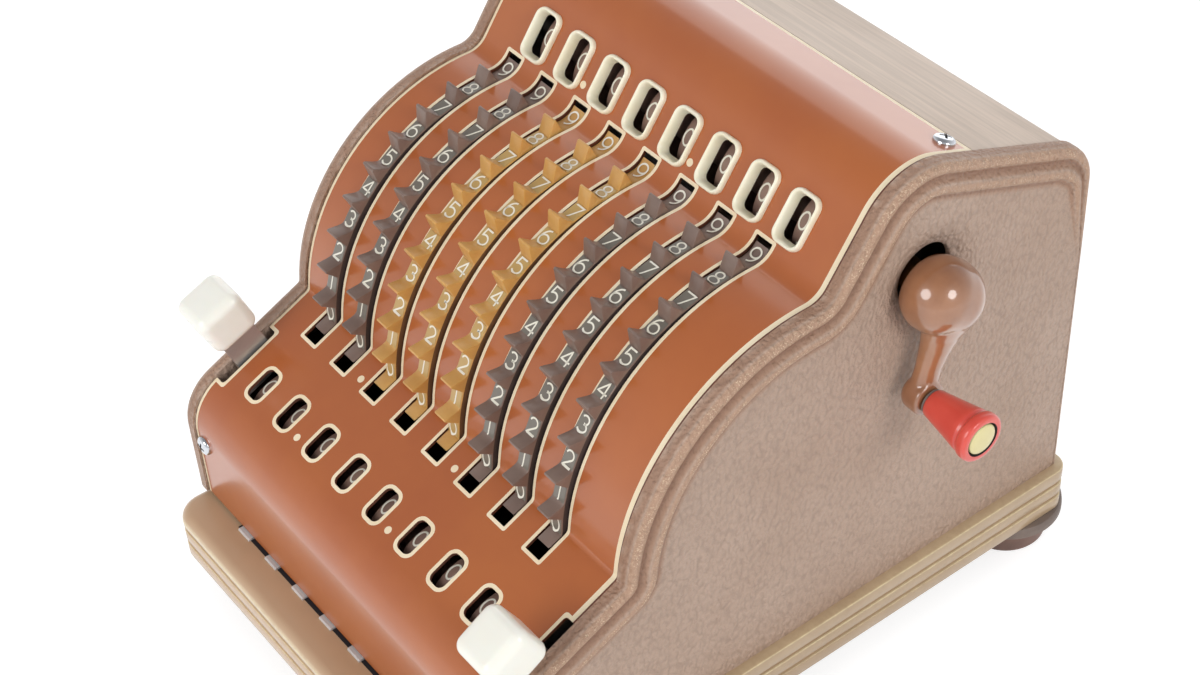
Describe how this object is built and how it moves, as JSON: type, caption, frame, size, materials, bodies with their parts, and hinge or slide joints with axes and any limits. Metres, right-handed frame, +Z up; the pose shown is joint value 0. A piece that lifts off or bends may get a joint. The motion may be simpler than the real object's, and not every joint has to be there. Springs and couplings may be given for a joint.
{
  "type": "key-set calculator",
  "caption": "Crank-operated desk adding machine with saw-toothed numbered setting sectors in a curved slotted face plate, number windows, two side levers and a front bar.",
  "frame": {"origin": "on the desk surface, midway between the side panels' inner faces and under the housing's middle", "axes": "+X towards the crank side, +Y from the operator to the back, +Z up"},
  "size_m": [0.1865, 0.2146, 0.1632],
  "materials": {
    "bar_comb": "bright",
    "bar_pivot": "bright",
    "base_band": "satin taupe with bright gold lines",
    "base_pan": "plain zinc",
    "crank_arm": "gloss brown enamel",
    "crank_bush": "bright",
    "crank_grip": "red",
    "crank_shaft": "bright",
    "face_plate": "gloss red-brown lacquer",
    "front_bar": "satin taupe enamel on a ribbed moulding",
    "front_left_foot": "matte",
    "front_right_foot": "matte",
    "grip_cap": "cream",
    "grip_spindle": "bright",
    "left_frame": "plain zinc",
    "left_lever_blade": "bright",
    "left_lever_cap": "cream",
    "left_side_panel": "leather-grained taupe enamel on cast metal",
    "lower_wheel_1": "purple-brown with white numerals",
    "lower_wheel_2": "purple-brown with white numerals",
    "lower_wheel_3": "purple-brown with white numerals",
    "lower_wheel_4": "purple-brown with white numerals",
    "lower_wheel_5": "purple-brown with white numerals",
    "lower_wheel_6": "purple-brown with white numerals",
    "lower_wheel_7": "purple-brown with white numerals",
    "lower_wheel_8": "purple-brown with white numerals",
    "lower_wheel_shaft": "bright",
    "rear_cover": "streaky grained taupe enamel",
    "rear_left_foot": "matte",
    "rear_right_foot": "matte",
    "right_frame": "plain zinc",
    "right_lever_blade": "bright",
    "right_lever_cap": "cream",
    "right_side_panel": "leather-grained taupe enamel on cast metal",
    "sector_shaft": "bright",
    "setting_sector_1": "moulded, with white numerals",
    "setting_sector_2": "moulded, with white numerals",
    "setting_sector_3": "moulded, with white numerals",
    "setting_sector_4": "moulded, with white numerals",
    "setting_sector_5": "moulded, with white numerals",
    "setting_sector_6": "moulded, with white numerals",
    "setting_sector_7": "moulded, with white numerals",
    "setting_sector_8": "moulded, with white numerals",
    "upper_wheel_1": "purple-brown with white numerals",
    "upper_wheel_2": "purple-brown with white numerals",
    "upper_wheel_3": "purple-brown with white numerals",
    "upper_wheel_4": "purple-brown with white numerals",
    "upper_wheel_5": "purple-brown with white numerals",
    "upper_wheel_6": "purple-brown with white numerals",
    "upper_wheel_7": "purple-brown with white numerals",
    "upper_wheel_8": "purple-brown with white numerals",
    "upper_wheel_shaft": "bright",
    "window_bezels": "cream"
  },
  "bodies": {
    "housing": {"bar_pivot": "bar_pivot", "base_band": "base_band", "base_pan": "base_pan", "crank_bush": "crank_bush", "face_plate": "face_plate", "front_left_foot": "front_left_foot", "front_right_foot": "front_right_foot", "left_frame": "left_frame", "left_side_panel": "left_side_panel", "lower_wheel_shaft": "lower_wheel_shaft", "rear_cover": "rear_cover", "rear_left_foot": "rear_left_foot", "rear_right_foot": "rear_right_foot", "right_frame": "right_frame", "right_side_panel": "right_side_panel", "sector_shaft": "sector_shaft", "upper_wheel_shaft": "upper_wheel_shaft", "window_bezels": "window_bezels"},
    "sector_1": {"setting_sector_1": "setting_sector_1"},
    "lower_number_1": {"lower_wheel_1": "lower_wheel_1"},
    "upper_number_1": {"upper_wheel_1": "upper_wheel_1"},
    "sector_2": {"setting_sector_2": "setting_sector_2"},
    "lower_number_2": {"lower_wheel_2": "lower_wheel_2"},
    "upper_number_2": {"upper_wheel_2": "upper_wheel_2"},
    "sector_3": {"setting_sector_3": "setting_sector_3"},
    "lower_number_3": {"lower_wheel_3": "lower_wheel_3"},
    "upper_number_3": {"upper_wheel_3": "upper_wheel_3"},
    "sector_4": {"setting_sector_4": "setting_sector_4"},
    "lower_number_4": {"lower_wheel_4": "lower_wheel_4"},
    "upper_number_4": {"upper_wheel_4": "upper_wheel_4"},
    "sector_5": {"setting_sector_5": "setting_sector_5"},
    "lower_number_5": {"lower_wheel_5": "lower_wheel_5"},
    "upper_number_5": {"upper_wheel_5": "upper_wheel_5"},
    "sector_6": {"setting_sector_6": "setting_sector_6"},
    "lower_number_6": {"lower_wheel_6": "lower_wheel_6"},
    "upper_number_6": {"upper_wheel_6": "upper_wheel_6"},
    "sector_7": {"setting_sector_7": "setting_sector_7"},
    "lower_number_7": {"lower_wheel_7": "lower_wheel_7"},
    "upper_number_7": {"upper_wheel_7": "upper_wheel_7"},
    "sector_8": {"setting_sector_8": "setting_sector_8"},
    "lower_number_8": {"lower_wheel_8": "lower_wheel_8"},
    "upper_number_8": {"upper_wheel_8": "upper_wheel_8"},
    "crank": {"crank_arm": "crank_arm", "crank_shaft": "crank_shaft", "grip_spindle": "grip_spindle", "grip_cap": "grip_cap"},
    "grip": {"crank_grip": "crank_grip"},
    "left_lever": {"left_lever_blade": "left_lever_blade", "left_lever_cap": "left_lever_cap"},
    "right_lever": {"right_lever_blade": "right_lever_blade", "right_lever_cap": "right_lever_cap"},
    "bar": {"front_bar": "front_bar", "bar_comb": "bar_comb"}
  },
  "joints": [
    {"name": "sector_1_pull", "type": "hinge", "parent": "housing", "child": "sector_1", "pos_m": [-0.05715, 0.001, 0.0776], "axis": [1, 0, 0], "range_deg": [0, 89.37]},
    {"name": "sector_2_pull", "type": "hinge", "parent": "housing", "child": "sector_2", "pos_m": [-0.04215, 0.001, 0.0776], "axis": [1, 0, 0], "range_deg": [0, 89.37]},
    {"name": "sector_3_pull", "type": "hinge", "parent": "housing", "child": "sector_3", "pos_m": [-0.02715, 0.001, 0.0776], "axis": [1, 0, 0], "range_deg": [0, 89.37]},
    {"name": "sector_4_pull", "type": "hinge", "parent": "housing", "child": "sector_4", "pos_m": [-0.01215, 0.001, 0.0776], "axis": [1, 0, 0], "range_deg": [0, 89.37]},
    {"name": "sector_5_pull", "type": "hinge", "parent": "housing", "child": "sector_5", "pos_m": [0.00285, 0.001, 0.0776], "axis": [1, 0, 0], "range_deg": [0, 89.37]},
    {"name": "sector_6_pull", "type": "hinge", "parent": "housing", "child": "sector_6", "pos_m": [0.01785, 0.001, 0.0776], "axis": [1, 0, 0], "range_deg": [0, 89.37]},
    {"name": "sector_7_pull", "type": "hinge", "parent": "housing", "child": "sector_7", "pos_m": [0.03285, 0.001, 0.0776], "axis": [1, 0, 0], "range_deg": [0, 89.37]},
    {"name": "sector_8_pull", "type": "hinge", "parent": "housing", "child": "sector_8", "pos_m": [0.04785, 0.001, 0.0776], "axis": [1, 0, 0], "range_deg": [0, 89.37]},
    {"name": "lower_number_1_turn", "type": "hinge", "parent": "housing", "child": "lower_number_1", "pos_m": [-0.05715, -0.07281, 0.05465], "axis": [1, 0, 0], "range_deg": [-325, 0.5]},
    {"name": "lower_number_2_turn", "type": "hinge", "parent": "housing", "child": "lower_number_2", "pos_m": [-0.04215, -0.07281, 0.05465], "axis": [1, 0, 0], "range_deg": [-325, 0.5]},
    {"name": "lower_number_3_turn", "type": "hinge", "parent": "housing", "child": "lower_number_3", "pos_m": [-0.02715, -0.07281, 0.05465], "axis": [1, 0, 0], "range_deg": [-325, 0.5]},
    {"name": "lower_number_4_turn", "type": "hinge", "parent": "housing", "child": "lower_number_4", "pos_m": [-0.01215, -0.07281, 0.05465], "axis": [1, 0, 0], "range_deg": [-325, 0.5]},
    {"name": "lower_number_5_turn", "type": "hinge", "parent": "housing", "child": "lower_number_5", "pos_m": [0.00285, -0.07281, 0.05465], "axis": [1, 0, 0], "range_deg": [-325, 0.5]},
    {"name": "lower_number_6_turn", "type": "hinge", "parent": "housing", "child": "lower_number_6", "pos_m": [0.01785, -0.07281, 0.05465], "axis": [1, 0, 0], "range_deg": [-325, 0.5]},
    {"name": "lower_number_7_turn", "type": "hinge", "parent": "housing", "child": "lower_number_7", "pos_m": [0.03285, -0.07281, 0.05465], "axis": [1, 0, 0], "range_deg": [-325, 0.5]},
    {"name": "lower_number_8_turn", "type": "hinge", "parent": "housing", "child": "lower_number_8", "pos_m": [0.04785, -0.07281, 0.05465], "axis": [1, 0, 0], "range_deg": [-325, 0.5]},
    {"name": "upper_number_1_turn", "type": "hinge", "parent": "housing", "child": "upper_number_1", "pos_m": [-0.05095, 0.03022, 0.13626], "axis": [1, 0, 0], "continuous": true},
    {"name": "upper_number_2_turn", "type": "hinge", "parent": "housing", "child": "upper_number_2", "pos_m": [-0.03595, 0.03022, 0.13626], "axis": [1, 0, 0], "continuous": true},
    {"name": "upper_number_3_turn", "type": "hinge", "parent": "housing", "child": "upper_number_3", "pos_m": [-0.02095, 0.03022, 0.13626], "axis": [1, 0, 0], "continuous": true},
    {"name": "upper_number_4_turn", "type": "hinge", "parent": "housing", "child": "upper_number_4", "pos_m": [-0.00595, 0.03022, 0.13626], "axis": [1, 0, 0], "continuous": true},
    {"name": "upper_number_5_turn", "type": "hinge", "parent": "housing", "child": "upper_number_5", "pos_m": [0.00905, 0.03022, 0.13626], "axis": [1, 0, 0], "continuous": true},
    {"name": "upper_number_6_turn", "type": "hinge", "parent": "housing", "child": "upper_number_6", "pos_m": [0.02405, 0.03022, 0.13626], "axis": [1, 0, 0], "continuous": true},
    {"name": "upper_number_7_turn", "type": "hinge", "parent": "housing", "child": "upper_number_7", "pos_m": [0.03905, 0.03022, 0.13626], "axis": [1, 0, 0], "continuous": true},
    {"name": "upper_number_8_turn", "type": "hinge", "parent": "housing", "child": "upper_number_8", "pos_m": [0.05405, 0.03022, 0.13626], "axis": [1, 0, 0], "continuous": true},
    {"name": "crank_turn", "type": "hinge", "parent": "housing", "child": "crank", "pos_m": [0.08, 0.039, 0.128], "axis": [1, 0, 0], "continuous": true},
    {"name": "grip_spin", "type": "hinge", "parent": "crank", "child": "grip", "pos_m": [0.095, 0.03431, 0.09837], "axis": [1, 0, 0], "continuous": true},
    {"name": "left_lever_swing", "type": "hinge", "parent": "housing", "child": "left_lever", "pos_m": [-0.0699, -0.0603, 0.03321], "axis": [1, 0, 0], "range_deg": [-3.8, 8]},
    {"name": "right_lever_swing", "type": "hinge", "parent": "housing", "child": "right_lever", "pos_m": [0.0699, -0.0603, 0.03321], "axis": [1, 0, 0], "range_deg": [-11.5, 0]},
    {"name": "bar_press", "type": "hinge", "parent": "housing", "child": "bar", "pos_m": [0, -0.052, 0.022], "axis": [1, 0, 0], "range_deg": [0, 8], "stiffness_Nm_per_rad": 0.6, "springref_deg": -5.73}
  ],
  "couplings": [
    {"joint": "lower_number_1_turn", "follows": "sector_1_pull", "ratio": -3.6254},
    {"joint": "lower_number_2_turn", "follows": "sector_2_pull", "ratio": -3.6254},
    {"joint": "lower_number_3_turn", "follows": "sector_3_pull", "ratio": -3.6254},
    {"joint": "lower_number_4_turn", "follows": "sector_4_pull", "ratio": -3.6254},
    {"joint": "lower_number_5_turn", "follows": "sector_5_pull", "ratio": -3.6254},
    {"joint": "lower_number_6_turn", "follows": "sector_6_pull", "ratio": -3.6254},
    {"joint": "lower_number_7_turn", "follows": "sector_7_pull", "ratio": -3.6254},
    {"joint": "lower_number_8_turn", "follows": "sector_8_pull", "ratio": -3.6254}
  ]
}
